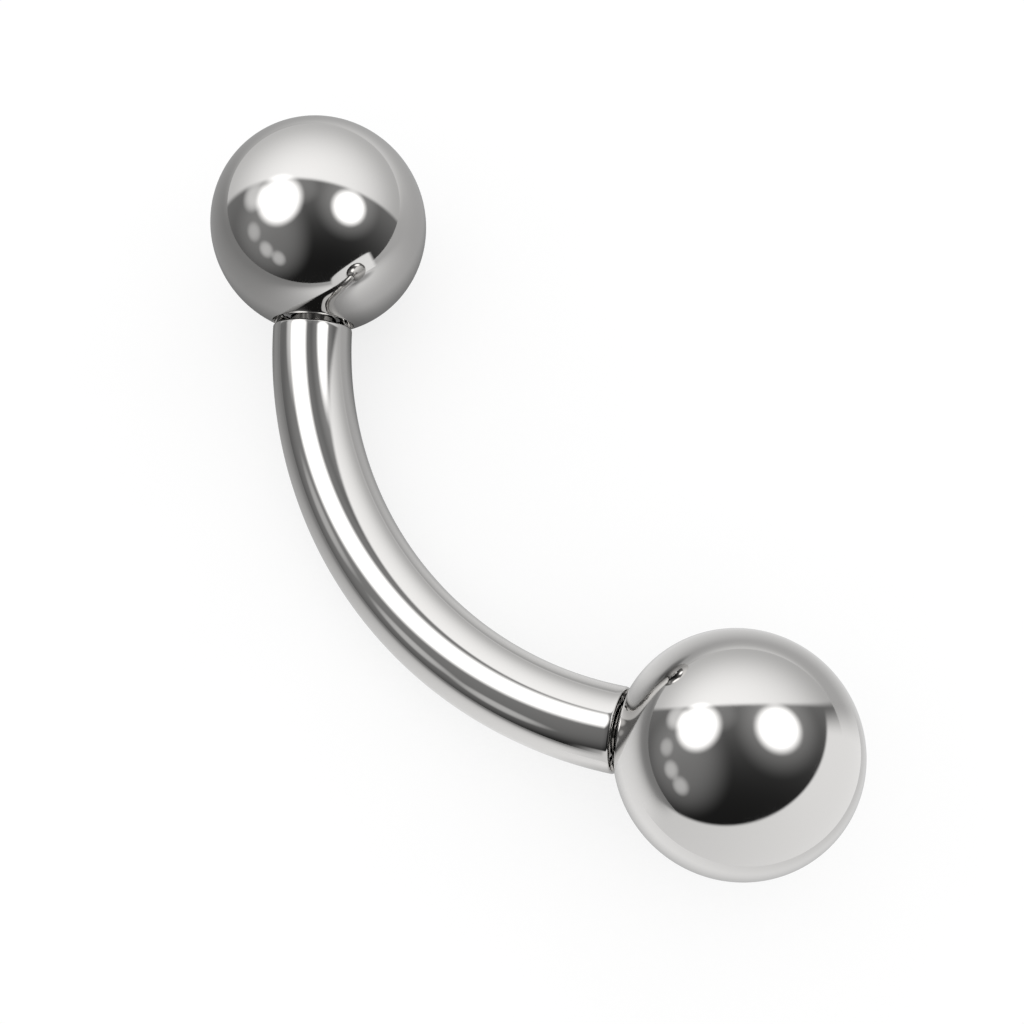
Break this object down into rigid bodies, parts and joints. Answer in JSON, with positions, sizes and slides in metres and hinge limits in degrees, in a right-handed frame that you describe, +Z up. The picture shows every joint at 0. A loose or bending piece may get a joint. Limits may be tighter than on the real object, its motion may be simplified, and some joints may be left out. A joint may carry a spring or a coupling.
{
  "type": "curved eyebrow barbell",
  "caption": "Small curved piercing barbell: a bent round steel bar with a screw-off ball on each end, lying on its balls and on the belly of the bar.",
  "frame": {"origin": "on the surface that the barbell lies on, under the centre of its overall box", "axes": "+X from the left ball to the right ball, the belly of the bar toward -Y, +Z up"},
  "size_m": [0.0134, 0.0046, 0.0033],
  "materials": {
    "bar_steel": "mirror-polished stainless steel",
    "ball_steel": "mirror-polished stainless steel"
  },
  "bodies": {
    "bar": {"curved_bar": "bar_steel"},
    "left_end": {"left_ball": "ball_steel"},
    "right_end": {"right_ball": "ball_steel"}
  },
  "joints": [
    {"name": "left_ball_unscrew", "type": "slide", "parent": "bar", "child": "left_end", "axis": [-0.749, 0.6027, 0.2752], "range_m": [0, 0.0021]},
    {"name": "right_ball_unscrew", "type": "slide", "parent": "bar", "child": "right_end", "axis": [0.749, 0.6027, 0.2752], "range_m": [0, 0.0021]}
  ]
}
